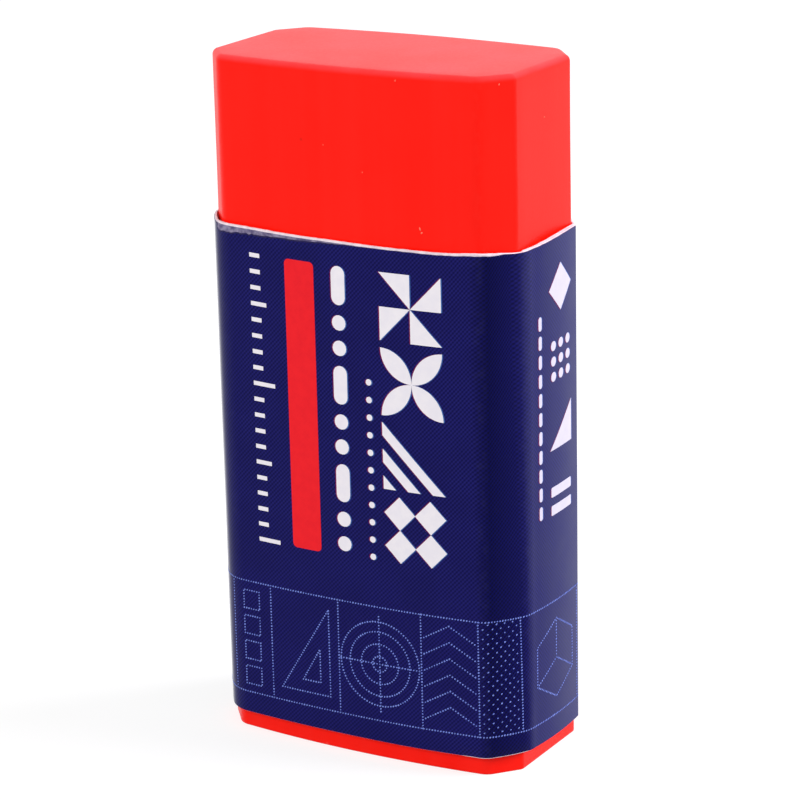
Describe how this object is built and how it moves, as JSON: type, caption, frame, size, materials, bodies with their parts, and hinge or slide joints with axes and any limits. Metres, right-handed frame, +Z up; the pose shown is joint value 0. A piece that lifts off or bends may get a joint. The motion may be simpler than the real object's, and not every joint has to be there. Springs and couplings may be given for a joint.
{
  "type": "pencil eraser",
  "caption": "Upright block eraser: a red chamfered rubber bar with softly crowned faces, standing in a wrapped navy card sleeve that slides along it.",
  "frame": {"origin": "centre of the foot that the eraser stands on", "axes": "+Z up the length of the block, -Y out of the printed front, +X out of the narrow side with the glued seam"},
  "size_m": [0.0216, 0.0122, 0.043],
  "materials": {
    "red_rubber": "smooth satin vinyl rubber with a faint drawn grain",
    "printed_card": "navy print under a satin varnish, white at the cut edges and inside"
  },
  "bodies": {
    "block": {"eraser_block": "red_rubber"},
    "sleeve": {"card_sleeve": "printed_card"}
  },
  "joints": [
    {"name": "sleeve_slide", "type": "slide", "parent": "block", "child": "sleeve", "axis": [0, 0, 1], "range_m": [-0.0012, 0.042]}
  ]
}
